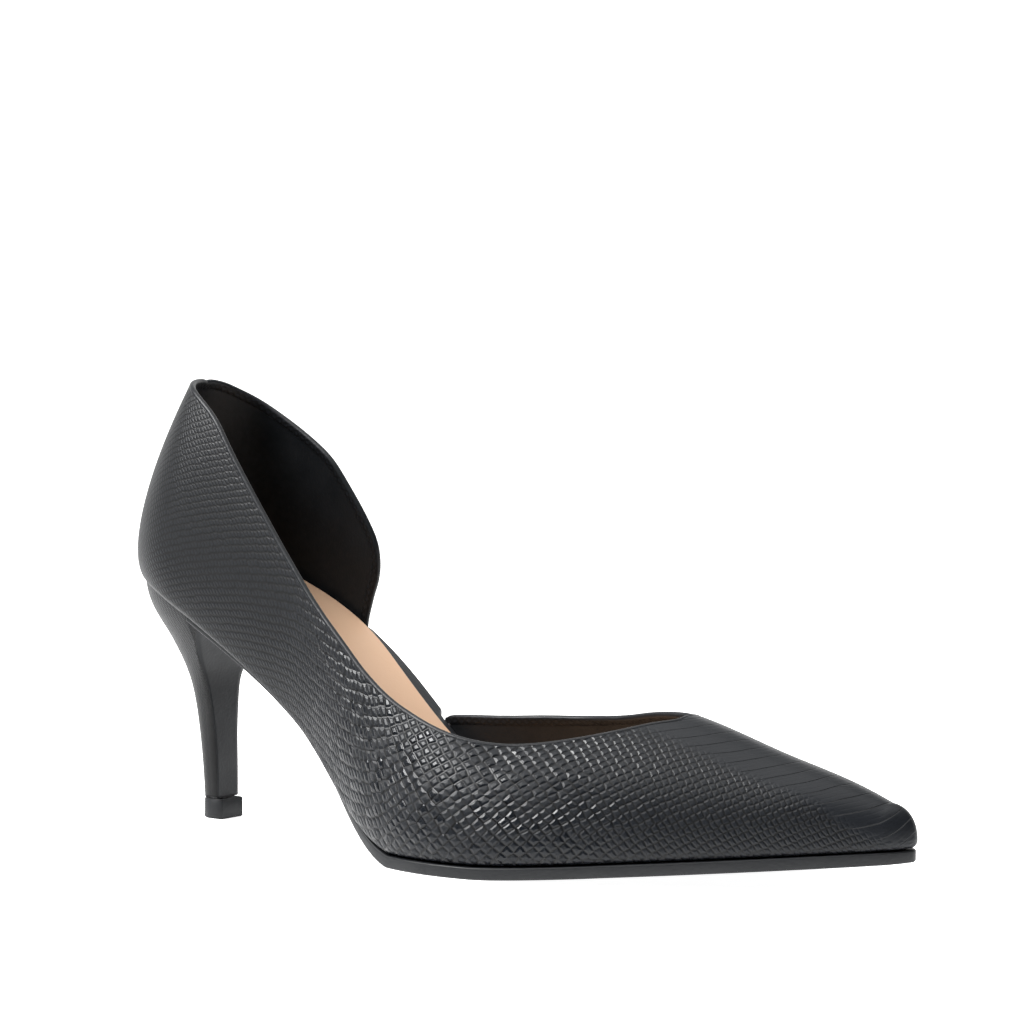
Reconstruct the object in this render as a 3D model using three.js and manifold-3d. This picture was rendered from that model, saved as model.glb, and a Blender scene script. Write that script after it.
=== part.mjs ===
// A right-foot court shoe with a pointed toe and a slim high heel. Its inner side is cut away between
// the counter and the vamp, down to the insole. Pieces: upper, insole board, sock, outsole, heel and
// top piece. Millimetres, +Z up, +X towards the toe, +Y towards the inner side of the foot. The origin
// is on the floor, under the middle of the top piece.
import * as THREE from "three";
import { mergeVertices } from "three/addons/utils/BufferGeometryUtils.js";
import Module from "manifold-3d";

const wasm = await Module();
wasm.setup();

// Driving sizes.
const shoeLength = 246; // back of the seat to the toe tip, along the floor
const backOverhang = 23.7; // back of the seat behind the middle of the top piece
const ballWidth = 80; // the half widths in the table are shares of this
const seatHeight = 73; // feather edge at the back of the seat, above the floor
const counterHeight = 60; // from the feather edge to the top of the back
const instepHeight = 41; // from the feather edge to the ridge at the throat
const toeSpring = 8; // feather edge at the toe tip above the tread
const archRise = 9; // inner feather edge above the outer one, at the waist
const toeSwing = 6.6; // toe tip towards the inner side
const heelRadius = 28; // length of the round end of the outline at the seat
const toeRadius = 7; // and at the toe
const upperWall = 1.6; // leather and lining together
const lastingMargin = 11; // turned under the insole board
const boardThickness = 2.2;
const sockThickness = 1;
const treadThickness = 3.2; // outsole under the ball
const waistThickness = 1.8; // outsole under the arch
const seam = 0.3; // between pieces that meet
const sockReveal = 4; // board that shows beside the sock, at its widest
const soleInset = 3.5; // outsole inside the feather edge, at the waist
const edgeRun = 0.2; // length over which the board's edge steps out at the cut-away side
const topPieceLength = 9.3;
const topPieceWidth = 9.7;
const topPieceHeight = 6;

// Places along the shoe, as shares of shoeLength from the back.
const springStart = 0.59; // the sole leaves the floor
const springPower = 1.25; // 1 is a straight rise towards the toe, 2 a round one
const vampStart = 0.745; // the two sides of the upper meet on a ridge
const instepStart = 0.3; // the wall's height changes from the counter's to the instep's
const instepEnd = 0.6;
const throat = 0.742; // front of the opening
const gapBack = 0.242; // the cut-away side, down on the insole
const gapFront = 0.368;
const soleStart = 0.125; // back of the outsole, let into the heel's breast
const openFront = 0.84; // front of the opening under the insole board
const thickenStart = 0.36; // the outsole grows from the arch's thickness to the tread's
const thickenEnd = 0.48;

const treadLine = treadThickness + seam; // feather edge above the floor, at the ball
const headShare = heelRadius / shoeLength;
const toeShare = toeRadius / shoeLength;

// Feather edge: lift, half widths, inner rise and swing are shares of the height from the tread to the
// seat, of ballWidth, archRise and toeSwing.
const featherTable = [
  { at: 0.0, lift: 1.0, outer: 0.258, inner: 0.258, arch: 0.0, swing: 0.0 },
  { at: 0.04, lift: 0.968, outer: 0.295, inner: 0.284, arch: 0.12, swing: 0.0 },
  { at: 0.08, lift: 0.922, outer: 0.322, inner: 0.312, arch: 0.3, swing: 0.0 },
  { at: 0.16, lift: 0.774, outer: 0.337, inner: 0.331, arch: 0.69, swing: 0.0 },
  { at: 0.24, lift: 0.595, outer: 0.339, inner: 0.315, arch: 0.97, swing: 0.0 },
  { at: 0.32, lift: 0.383, outer: 0.366, inner: 0.285, arch: 1.04, swing: 0.0 },
  { at: 0.4, lift: 0.143, outer: 0.457, inner: 0.275, arch: 0.91, swing: 0.0 },
  { at: 0.48, lift: 0.0, outer: 0.548, inner: 0.323, arch: 0.55, swing: 0.0 },
  { at: 0.55, lift: -0.008, outer: 0.576, inner: 0.408, arch: -0.01, swing: 0.0 },
  { at: 0.62, lift: -0.004, outer: 0.544, inner: 0.469, arch: -0.03, swing: 0.06 },
  { at: 0.7, lift: 0.0, outer: 0.445, inner: 0.476, arch: 0.0, swing: 0.19 },
  { at: 0.78, lift: 0.0, outer: 0.333, inner: 0.396, arch: 0.0, swing: 0.37 },
  { at: 0.86, lift: 0.0, outer: 0.228, inner: 0.28, arch: 0.0, swing: 0.57 },
  { at: 0.94, lift: 0.0, outer: 0.128, inner: 0.157, arch: 0.0, swing: 0.81 },
  { at: 1.0, lift: 0.0, outer: 0.052, inner: 0.064, arch: 0.0, swing: 1.0 },
];

// Wall above the feather edge, one cubic from the edge to its rim. crown is the rim's height, a share
// of the wall height; close is the rim's way to the centre line, a share of the half width, as are the
// belly outside the edge (outer, inner) and the shoulder. rise and cheek are shares of the rim's height.
const wallTable = [
  { at: 0.0, crown: 1.2, outer: 0.39, inner: 0.39, rise: 0.09, shoulder: 0.215, cheek: 0.72, close: 1.0 },
  { at: 0.12, crown: 1.197, outer: 0.205, inner: 0.205, rise: 0.09, shoulder: 0.13, cheek: 0.72, close: 0.5 },
  { at: 0.3, crown: 1.161, outer: 0.12, inner: 0.1, rise: 0.32, shoulder: 0.08, cheek: 0.75, close: 0.55 },
  { at: 0.45, crown: 1.122, outer: 0.12, inner: 0.08, rise: 0.32, shoulder: 0.2, cheek: 0.85, close: 0.65 },
  { at: 0.6, crown: 1.01, outer: 0.1, inner: 0.08, rise: 0.4, shoulder: 0.4, cheek: 0.95, close: 0.9 },
  { at: 0.745, crown: 0.866, outer: 0.08, inner: 0.08, rise: 0.5, shoulder: 0.64, cheek: 1.0, close: 1.0 },
  { at: 0.85, crown: 0.609, outer: 0.1, inner: 0.1, rise: 0.6, shoulder: 0.625, cheek: 1.0, close: 1.0 },
  { at: 0.93, crown: 0.411, outer: 0.1, inner: 0.1, rise: 0.7, shoulder: 0.53, cheek: 1.0, close: 1.0 },
  { at: 1.0, crown: 0.191, outer: 0.1, inner: 0.1, rise: 0.7, shoulder: 0.5, cheek: 1.0, close: 1.0 },
];

// The opening seen from the side. up is the height above the outer feather edge, a share of the wall
// height. The inner counter's edge doubles back as it drops to the insole.
const outerTopline = [
  { at: 0.04, up: 1.035 },
  { at: 0.068, up: 1.05 },
  { at: 0.096, up: 1.047 },
  { at: 0.12, up: 1.037 },
  { at: 0.147, up: 1.01 },
  { at: 0.184, up: 0.915 },
  { at: 0.231, up: 0.802 },
  { at: 0.285, up: 0.696 },
  { at: 0.33, up: 0.672 },
  { at: 0.376, up: 0.713 },
  { at: 0.415, up: 0.742 },
  { at: 0.457, up: 0.765 },
  { at: 0.499, up: 0.753 },
  { at: 0.548, up: 0.727 },
  { at: 0.592, up: 0.741 },
  { at: 0.63, up: 0.756 },
  { at: 0.667, up: 0.784 },
  { at: 0.699, up: 0.82 },
  { at: 0.723, up: 0.85 },
  { at: throat, up: 0.861 },
];
const innerCounter = [
  { at: 0.04, up: 1.035 },
  { at: 0.068, up: 1.05 },
  { at: 0.083, up: 1.025 },
  { at: 0.113, up: 0.998 },
  { at: 0.144, up: 0.986 },
  { at: 0.174, up: 0.976 },
  { at: 0.202, up: 0.954 },
  { at: 0.227, up: 0.876 },
  { at: 0.25, up: 0.79 },
  { at: 0.264, up: 0.706 },
  { at: 0.265, up: 0.598 },
  { at: 0.26, up: 0.499 },
  { at: 0.251, up: 0.394 },
  { at: gapBack, up: 0.25 },
];
const innerVamp = [
  { at: gapFront, up: 0.243 },
  { at: 0.405, up: 0.405 },
  { at: 0.448, up: 0.564 },
  { at: 0.503, up: 0.685 },
  { at: 0.558, up: 0.759 },
  { at: 0.622, up: 0.84 },
  { at: 0.66, up: 0.868 },
  { at: 0.692, up: 0.879 },
  { at: 0.72, up: 0.876 },
  { at: throat, up: 0.861 },
];

// The sock inside the edge of the board, and the outsole inside the feather edge, as shares of
// sockReveal and soleInset.
const rimTable = [
  { at: 0.0, sockOuter: 0.2, sockInner: 0.2, soleOuter: 0.7, soleInner: 0.7 },
  { at: 0.15, sockOuter: 0.2, sockInner: 0.2, soleOuter: 0.7, soleInner: 0.7 },
  { at: 0.24, sockOuter: 0.2, sockInner: 0.225, soleOuter: 0.85, soleInner: 0.85 },
  { at: 0.28, sockOuter: 0.2, sockInner: 0.45, soleOuter: 0.85, soleInner: 0.9 },
  { at: 0.32, sockOuter: 0.2, sockInner: 0.85, soleOuter: 0.85, soleInner: 1.0 },
  { at: 0.4, sockOuter: 0.2, sockInner: 0.95, soleOuter: 0.43, soleInner: 1.0 },
  { at: 0.5, sockOuter: 0.2, sockInner: 0.625, soleOuter: -0.09, soleInner: 0.43 },
  { at: 0.62, sockOuter: 0.2, sockInner: 0.25, soleOuter: -0.14, soleInner: -0.09 },
  { at: 0.85, sockOuter: 0.2, sockInner: 0.2, soleOuter: -0.11, soleInner: -0.11 },
  { at: 1.0, sockOuter: 0.2, sockInner: 0.2, soleOuter: 0.09, soleInner: 0.09 },
];

// Heel from its tip up: back and front of each level before and behind the middle of the top piece,
// as shares of backOverhang, and the half width as a share of ballWidth.
const heelTable = [
  { at: 0.0, back: 0.195, front: 0.125, half: 0.059 },
  { at: 0.17, back: 0.24, front: 0.11, half: 0.061 },
  { at: 0.31, back: 0.29, front: 0.085, half: 0.067 },
  { at: 0.43, back: 0.345, front: 0.06, half: 0.08 },
  { at: 0.53, back: 0.415, front: 0.04, half: 0.1 },
  { at: 0.63, back: 0.515, front: 0.06, half: 0.147 },
  { at: 0.73, back: 0.65, front: 0.17, half: 0.206 },
  { at: 0.83, back: 0.83, front: 0.35, half: 0.256 },
  { at: 0.91, back: 0.935, front: 0.42, half: 0.28 },
  { at: 1.0, back: 0.985, front: 0.42, half: 0.292 },
];

// A smooth curve through one column of a table: a natural cubic spline over the column named at.
function column(table, name) {
  const x = table.map((row) => row.at);
  const y = table.map((row) => row[name]);
  const last = x.length - 1;
  const bend = new Array(last + 1).fill(0);
  const carry = new Array(last + 1).fill(0);
  for (let i = 1; i < last; i++) {
    const share = (x[i] - x[i - 1]) / (x[i + 1] - x[i - 1]);
    const below = share * bend[i - 1] + 2;
    const jump = (y[i + 1] - y[i]) / (x[i + 1] - x[i]) - (y[i] - y[i - 1]) / (x[i] - x[i - 1]);
    bend[i] = (share - 1) / below;
    carry[i] = ((6 * jump) / (x[i + 1] - x[i - 1]) - share * carry[i - 1]) / below;
  }
  bend[last] = 0;
  for (let i = last - 1; i >= 0; i--) bend[i] = bend[i] * bend[i + 1] + carry[i];
  return (at) => {
    let i = 0;
    while (i < last - 1 && at > x[i + 1]) i++;
    const width = x[i + 1] - x[i];
    const b = (at - x[i]) / width;
    const a = 1 - b;
    const cubic = (a ** 3 - a) * bend[i] + (b ** 3 - b) * bend[i + 1];
    return a * y[i] + b * y[i + 1] + (cubic * width * width) / 6;
  };
}
function columns(table) {
  const names = Object.keys(table[0]).filter((name) => name !== "at");
  return Object.fromEntries(names.map((name) => [name, column(table, name)]));
}
const feather = columns(featherTable);
const wall = columns(wallTable);
const rim = columns(rimTable);
const heelShape = columns(heelTable);

const slight = 0.002; // a small change of a share, to find slopes
const clamp = THREE.MathUtils.clamp;
const lerp = THREE.MathUtils.lerp;
const share = (x) => (x + backOverhang) / shoeLength;

// Half of the outline is run through from 0 to 3: round the seat, along the side, round the toe.
function station(s) {
  if (s < 1) return headShare * (1 - Math.cos((s * Math.PI) / 2));
  if (s > 2) return 1 - toeShare * (1 - Math.cos(((3 - s) * Math.PI) / 2));
  return lerp(headShare, 1 - toeShare, s - 1);
}
function stationAt(at) {
  if (at < headShare) return (Math.acos(1 - at / headShare) * 2) / Math.PI;
  if (at > 1 - toeShare) return 3 - (Math.acos(1 - (1 - at) / toeShare) * 2) / Math.PI;
  return 1 + (at - headShare) / (1 - toeShare - headShare);
}
function roundEnd(s) {
  if (s < 1) return Math.sin((s * Math.PI) / 2);
  if (s > 2) return Math.sin(((3 - s) * Math.PI) / 2);
  return 1;
}

// Height of the feather edge at the outer side, and of the surface between both feather edges.
function baseHeight(at) {
  const spring = Math.max(0, (at - springStart) / (1 - springStart)) ** springPower;
  return treadLine + (seatHeight - treadLine) * Math.max(0, feather.lift(at)) + toeSpring * spring;
}
function bottomHeight(x, y) {
  const at = clamp(share(x), 0, 1);
  const middle = toeSwing * feather.swing(at);
  const outer = middle - ballWidth * feather.outer(at);
  const inner = middle + ballWidth * feather.inner(at);
  const across = clamp((y - outer) / (inner - outer), 0, 1);
  return baseHeight(at) + archRise * Math.max(0, feather.arch(at)) * across;
}
// Length of the slope above one millimetre of floor, so that slanted layers keep their thickness.
function steepness(x) {
  const at = clamp(share(x), 0, 1);
  return Math.hypot(1, (baseHeight(at + slight) - baseHeight(at - slight)) / (2 * slight * shoeLength));
}

// side is -1 on the outer side and 1 on the inner side.
function featherEdge(s, side) {
  const at = station(s);
  const half = ballWidth * (side < 0 ? feather.outer(at) : feather.inner(at)) * roundEnd(s);
  const x = shoeLength * at - backOverhang;
  const y = toeSwing * feather.swing(at) + side * half;
  return new THREE.Vector3(x, y, bottomHeight(x, y));
}
// The feather edge moved square to itself, inwards, and lifted.
function insetEdge(s, side, inset, lift) {
  const here = featherEdge(s, side);
  const along = featherEdge(Math.min(3, s + slight), side).sub(featherEdge(Math.max(0, s - slight), side));
  const ends = s === 0 || s === 3;
  const square = new THREE.Vector2(side * along.y, -side * along.x).normalize();
  if (ends) square.set(s === 0 ? 1 : -1, 0);
  const x = here.x + square.x * inset;
  const y = here.y + square.y * inset;
  return new THREE.Vector3(x, y, bottomHeight(x, y) + lift * steepness(x));
}
function wallHeight(at) {
  return lerp(counterHeight, instepHeight, clamp((at - instepStart) / (instepEnd - instepStart), 0, 1));
}
// Where each rib of the wall is headed: a pole in the seat, the centre line, a pole in the toe.
function spine(s) {
  const at = station(clamp(s, 1, 2));
  const top = station(Math.min(s, 2));
  const height = baseHeight(top) + wallHeight(top) * wall.crown(top);
  return new THREE.Vector3(shoeLength * at - backOverhang, toeSwing * feather.swing(at), height);
}
function wallPoint(s, v, side) {
  const at = station(Math.min(s, 2));
  const foot = featherEdge(s, side);
  const head = spine(s);
  const up = head.z - foot.z;
  const close = at < vampStart ? Math.min(1, wall.close(at)) : 1;
  const belly = side < 0 ? wall.outer(at) : wall.inner(at);
  const knot = (way, rise) =>
    new THREE.Vector3(lerp(foot.x, head.x, way), lerp(foot.y, head.y, way), foot.z + rise * up);
  const rib = new THREE.CubicBezierCurve3(
    foot,
    knot(-belly, wall.rise(at)),
    knot(wall.shoulder(at), wall.cheek(at)),
    knot(close, 1),
  );
  return rib.getPoint(v);
}
// The wall moved square to itself by depth, towards the foot.
function innerPoint(s, v, side, depth) {
  if (v === 0) return insetEdge(s, side, depth, depth);
  const here = wallPoint(s, v, side);
  const closed = station(Math.min(s, 2)) >= vampStart;
  if (v === 1 && closed) return here.setZ(here.z - depth);
  const next = Math.min(3, s + slight);
  const above = Math.min(1, v + slight);
  const along = wallPoint(next, v, side).sub(wallPoint(next - slight, v, side));
  const rising = wallPoint(s, above, side).sub(wallPoint(s, above - slight, side));
  const square = along.cross(rising).multiplyScalar(-side).normalize();
  if (s === 0 || s === 3) square.setY(0).normalize();
  return here.addScaledVector(square, -depth);
}

// Closed solids. Rings are closed loops of points; the first and last may shrink to a line.
function solid(rings) {
  const size = rings[0].length;
  const geometry = new THREE.BufferGeometry();
  const positions = rings.flat().flatMap((p) => [p.x, p.y, p.z]);
  geometry.setAttribute("position", new THREE.Float32BufferAttribute(positions, 3));
  const index = [];
  for (let i = 0; i + 1 < rings.length; i++) {
    for (let j = 0; j < size; j++) {
      const a = i * size + j;
      const b = i * size + ((j + 1) % size);
      index.push(a, a + size, b, b, a + size, b + size);
    }
  }
  geometry.setIndex(index);
  return weld(geometry);
}
// Joins equal corners and drops the triangles that this leaves without an area.
function weld(geometry) {
  geometry.deleteAttribute("normal");
  geometry.deleteAttribute("uv");
  const merged = mergeVertices(geometry, 1e-3);
  const index = Array.from(merged.index.array);
  const kept = [];
  for (let i = 0; i < index.length; i += 3) {
    const [a, b, c] = index.slice(i, i + 3);
    if (a !== b && b !== c && c !== a) kept.push(a, b, c);
  }
  const mesh = new wasm.Mesh({
    numProp: 3,
    vertProperties: new Float32Array(merged.attributes.position.array),
    triVerts: new Uint32Array(kept),
  });
  return new wasm.Manifold(mesh);
}
function steps(from, to, count) {
  return Array.from({ length: count + 1 }, (_, i) => lerp(from, to, i / count));
}
const seatSteps = 8;
const sideSteps = 38;
const toeSteps = 5;
const wallSteps = 13;
const acrossSteps = 4;
const gapSteps = 12;
const curveSteps = 3; // between two rows of a topline
const heelSteps = 18;
const heelTurnSteps = 16;
const cutterSteps = 12;
const allStations = [
  ...steps(0, 1, seatSteps),
  ...steps(1, 2, sideSteps).slice(1),
  ...steps(2, 3, toeSteps).slice(1),
];

// The space inside the upper's surface, or inside its lining when depth is the wall's thickness.
function lastForm(depth) {
  const rings = allStations.map((s) => {
    const end = s === 0 || s === 3;
    const rib = (side) => steps(0, 1, wallSteps).map((v) => innerPoint(s, v, side, depth));
    const outer = rib(-1);
    const inner = end ? outer.map((p) => p.clone()) : rib(1);
    const left = inner[0];
    const right = outer[0];
    const under = steps(0, 1, acrossSteps).slice(1, -1).map((k) => {
      const p = left.clone().lerp(right, k);
      return p.setZ(bottomHeight(p.x, p.y) + depth * steepness(p.x));
    });
    return [...outer, ...inner.reverse(), ...under];
  });
  return solid(rings);
}

// A plate that follows the bottom between two lifts, with its own inset on each side.
function plate(stations, insetOuter, insetInner, low, high) {
  const rings = stations.map((s) => {
    const at = station(s);
    const right = insetEdge(s, -1, insetOuter(at), 0);
    const left = s === 0 || s === 3 ? right.clone() : insetEdge(s, 1, insetInner(at), 0);
    const layer = (lift) =>
      steps(0, 1, acrossSteps).map((k) => {
        const p = right.clone().lerp(left, k);
        return p.setZ(bottomHeight(p.x, p.y) + lift(at) * steepness(p.x));
      });
    return [...layer(high), ...layer(low).reverse()];
  });
  return capped(rings);
}

// A curve of the opening, seen from the side.
function toplineCurve(rows) {
  const points = rows.map(({ at, up }) => {
    const height = baseHeight(at) + wallHeight(at) * up;
    return new THREE.Vector3(shoeLength * at - backOverhang, height, 0);
  });
  const curve = new THREE.CatmullRomCurve3(points, false, "centripetal");
  return curve.getPoints(curveSteps * rows.length).map((p) => new THREE.Vector2(p.x, p.y));
}
// All that lies above a line of points, on one side of the centre plane.
function cutAbove(line, side) {
  const sky = seatHeight + 2 * counterHeight;
  const behind = -2 * backOverhang - counterHeight;
  const front = line[line.length - 1];
  const outline = [
    new THREE.Vector2(behind, line[0].y),
    ...line,
    new THREE.Vector2(front.x, sky),
    new THREE.Vector2(behind, sky),
  ];
  const geometry = new THREE.ExtrudeGeometry(new THREE.Shape(outline), {
    depth: shoeLength,
    bevelEnabled: false,
  });
  geometry.rotateX(Math.PI / 2);
  geometry.translate(0, side > 0 ? shoeLength : 0, 0);
  return weld(geometry);
}
// The lasting margin along the inner edge, where the side is cut away: the cut just enters it.
function gapFloor() {
  return steps(gapBack, gapFront, gapSteps).map((at) => {
    const edge = insetEdge(stationAt(at), 1, 0, upperWall - seam);
    return new THREE.Vector2(shoeLength * at - backOverhang, edge.z);
  });
}

const boardInset = upperWall + seam;
const boardBottom = upperWall + seam;
// Upper: one hollow wall, turned under the board all round.
function makeUpper() {
  const under = steps(0, stationAt(openFront), seatSteps + sideSteps);
  const open = plate(
    under,
    () => lastingMargin,
    () => lastingMargin,
    () => -upperWall,
    () => boardBottom,
  );
  const innerLine = [...toplineCurve(innerCounter), ...gapFloor(), ...toplineCurve(innerVamp)];
  return lastForm(0)
    .subtract(lastForm(upperWall))
    .subtract(cutAbove(toplineCurve(outerTopline), -1))
    .subtract(cutAbove(innerLine, 1))
    .subtract(open);
}

// Insole board: flush with the upper's outside where the inner side is cut away.
function makeBoard() {
  const gapClear = seam / shoeLength;
  const edges = [gapBack + gapClear, gapFront - gapClear];
  const turn = edgeRun / shoeLength;
  const extra = edges.flatMap((at) => [stationAt(at - turn), stationAt(at + turn)]);
  const stations = [...allStations, ...extra].sort((p, q) => p - q);
  const inner = (at) => (at > edges[0] && at < edges[1] ? 0 : boardInset);
  const high = boardBottom + boardThickness;
  return plate(stations, () => boardInset, inner, () => boardBottom, () => high);
}
function makeSock() {
  const low = boardBottom + boardThickness + seam;
  const high = low + sockThickness;
  const outer = (at) => boardInset + sockReveal * rim.sockOuter(at);
  const inner = (at) => boardInset + sockReveal * rim.sockInner(at);
  return plate(allStations, outer, inner, () => low, () => high);
}
// The outsole, or the room it needs when clear is more than nothing.
function soleForm(clear) {
  const start = stationAt(soleStart - clear / shoeLength);
  const stations = [start, ...allStations.filter((s) => s > start)];
  const grow = (at) => THREE.MathUtils.smoothstep(at, thickenStart, thickenEnd);
  const low = (at) => -seam - lerp(waistThickness, treadThickness, grow(at)) - clear;
  const outer = (at) => soleInset * rim.soleOuter(at) - clear;
  const inner = (at) => soleInset * rim.soleInner(at) - clear;
  return plate(stations, outer, inner, low, () => clear - seam);
}

// A level of the heel: flat in front, round behind, run through clockwise as seen from above.
const roundness = 1.1; // length of the round back, a share of the half width
const roundLimit = 0.95; // and at most this share of the level's length
function heelLevel(back, front, half, height) {
  const reach = Math.min(roundness * half, roundLimit * (back + front));
  const round = steps(-Math.PI / 2, Math.PI / 2, heelTurnSteps).map(
    (turn) => new THREE.Vector3(reach - back - reach * Math.cos(turn), half * Math.sin(turn), height),
  );
  const corners = [-half, half].map((y) => new THREE.Vector3(front, y, height));
  return [corners[0], ...round, corners[1]];
}
function capped(rings) {
  const point = (ring) => {
    const middle = ring.reduce((sum, p) => sum.add(p), new THREE.Vector3()).divideScalar(ring.length);
    return ring.map(() => middle.clone());
  };
  return solid([point(rings[0]), ...rings, point(rings[rings.length - 1])]);
}
const heelOverrun = 1.05; // the heel's levels run on past the seat, which then cuts them
function makeHeel() {
  const tip = topPieceHeight + seam;
  const rings = steps(0, heelOverrun, heelSteps).map((at) => {
    const level = clamp(at, 0, 1);
    const back = backOverhang * heelShape.back(level);
    const front = backOverhang * heelShape.front(level);
    return heelLevel(back, front, ballWidth * heelShape.half(level), lerp(tip, seatHeight, at));
  });
  return capped(rings).subtract(seatCutter()).subtract(soleForm(seam));
}
// All that lies above the bottom of the upper, around the seat.
function seatCutter() {
  const reach = 2 * backOverhang;
  const rings = steps(-reach, reach, 2 * cutterSteps).map((x) => {
    const line = steps(-reach, reach, cutterSteps).map((y) => new THREE.Vector3(x, y, 0));
    const high = line.map((p) => p.clone().setZ(2 * seatHeight));
    const low = line.map((p) => p.clone().setZ(bottomHeight(p.x, p.y) - seam * steepness(p.x)));
    return [...high, ...low.reverse()];
  });
  return capped(rings);
}
function makeTopPiece() {
  const half = topPieceWidth / 2;
  const reach = topPieceLength / 2;
  return capped([0, topPieceHeight].map((height) => heelLevel(reach, reach, half, height)));
}

const materials = {
  leather: new THREE.MeshStandardMaterial({ color: 0x2a2d33, roughness: 0.45, metalness: 0 }),
  binding: new THREE.MeshStandardMaterial({ color: 0x33363b, roughness: 0.55, metalness: 0 }),
  sock: new THREE.MeshStandardMaterial({ color: 0xd9b596, roughness: 0.6, metalness: 0 }),
  rubber: new THREE.MeshStandardMaterial({ color: 0x1b1c1e, roughness: 0.7, metalness: 0 }),
};
function piece(name, form, material) {
  const { vertProperties, triVerts } = form.getMesh();
  const geometry = new THREE.BufferGeometry();
  geometry.setAttribute("position", new THREE.BufferAttribute(vertProperties, 3));
  geometry.setIndex(new THREE.BufferAttribute(triVerts, 1));
  geometry.computeVertexNormals();
  const mesh = new THREE.Mesh(geometry, material);
  mesh.name = name;
  return mesh;
}

const shoe = new THREE.Group();
shoe.add(
  piece("upper", makeUpper(), materials.leather),
  piece("insole_board", makeBoard(), materials.binding),
  piece("sock", makeSock(), materials.sock),
  piece("outsole", soleForm(0), materials.rubber),
  piece("heel", makeHeel(), materials.leather),
  piece("top_piece", makeTopPiece(), materials.rubber),
);
export default shoe;
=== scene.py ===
# Looks of a right-foot court shoe: snake-embossed leather outside, smooth black lining, tan sock,
# leather-covered heel. Lengths are millimetres until a mesh is made. +X is the toe, +Y the inner side.
import math

import bpy
import numpy as np
from mathutils import Matrix, Vector


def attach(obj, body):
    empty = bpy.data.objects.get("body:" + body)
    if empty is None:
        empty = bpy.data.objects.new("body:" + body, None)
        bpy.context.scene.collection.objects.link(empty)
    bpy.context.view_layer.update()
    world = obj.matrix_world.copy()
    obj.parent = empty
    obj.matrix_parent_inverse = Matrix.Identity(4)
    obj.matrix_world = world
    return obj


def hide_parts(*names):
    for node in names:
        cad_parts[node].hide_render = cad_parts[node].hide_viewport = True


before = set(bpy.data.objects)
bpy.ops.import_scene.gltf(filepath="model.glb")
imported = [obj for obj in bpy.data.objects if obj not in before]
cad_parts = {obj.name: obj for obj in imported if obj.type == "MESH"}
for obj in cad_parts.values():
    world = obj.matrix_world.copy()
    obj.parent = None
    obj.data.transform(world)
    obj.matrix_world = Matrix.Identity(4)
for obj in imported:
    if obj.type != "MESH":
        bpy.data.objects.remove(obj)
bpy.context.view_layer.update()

MM = 0.001

# Driving sizes, as in the solids.
SHOE_LENGTH = 246
BACK_OVERHANG = 23.7
BALL_WIDTH = 80
SEAT_HEIGHT = 73
COUNTER_HEIGHT = 60
INSTEP_HEIGHT = 41
TOE_SPRING = 8
ARCH_RISE = 9
TOE_SWING = 6.6
HEEL_RADIUS = 28
TOE_RADIUS = 7
UPPER_WALL = 1.6
LASTING_MARGIN = 11
BOARD_THICKNESS = 2.2
SOCK_THICKNESS = 1
TREAD_THICKNESS = 3.2
WAIST_THICKNESS = 1.8
SEAM = 0.3
SOCK_REVEAL = 4
SOLE_INSET = 3.5
TOP_PIECE_LENGTH = 9.3
TOP_PIECE_WIDTH = 9.7
TOP_PIECE_HEIGHT = 6

# Places along the shoe, as shares of its length from the back.
SPRING_START = 0.59
SPRING_POWER = 1.25
VAMP_START = 0.745
INSTEP_START = 0.3
INSTEP_END = 0.6
THROAT = 0.742
GAP_BACK = 0.242
GAP_FRONT = 0.368
SOLE_START = 0.125
THICKEN_START = 0.36
THICKEN_END = 0.48
TREAD_LINE = TREAD_THICKNESS + SEAM
HEAD_SHARE = HEEL_RADIUS / SHOE_LENGTH
TOE_SHARE = TOE_RADIUS / SHOE_LENGTH


def table(names, *rows):
    """Columns by name, from rows of numbers."""
    return dict(zip(names.split(), np.array(rows, float).T))


FEATHER = table(
    "at lift outer inner arch swing",
    (0.0, 1.0, 0.258, 0.258, 0.0, 0.0),
    (0.04, 0.968, 0.295, 0.284, 0.12, 0.0),
    (0.08, 0.922, 0.322, 0.312, 0.3, 0.0),
    (0.16, 0.774, 0.337, 0.331, 0.69, 0.0),
    (0.24, 0.595, 0.339, 0.315, 0.97, 0.0),
    (0.32, 0.383, 0.366, 0.285, 1.04, 0.0),
    (0.4, 0.143, 0.457, 0.275, 0.91, 0.0),
    (0.48, 0.0, 0.548, 0.323, 0.55, 0.0),
    (0.55, -0.008, 0.576, 0.408, -0.01, 0.0),
    (0.62, -0.004, 0.544, 0.469, -0.03, 0.06),
    (0.7, 0.0, 0.445, 0.476, 0.0, 0.19),
    (0.78, 0.0, 0.333, 0.396, 0.0, 0.37),
    (0.86, 0.0, 0.228, 0.28, 0.0, 0.57),
    (0.94, 0.0, 0.128, 0.157, 0.0, 0.81),
    (1.0, 0.0, 0.052, 0.064, 0.0, 1.0),
)
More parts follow.
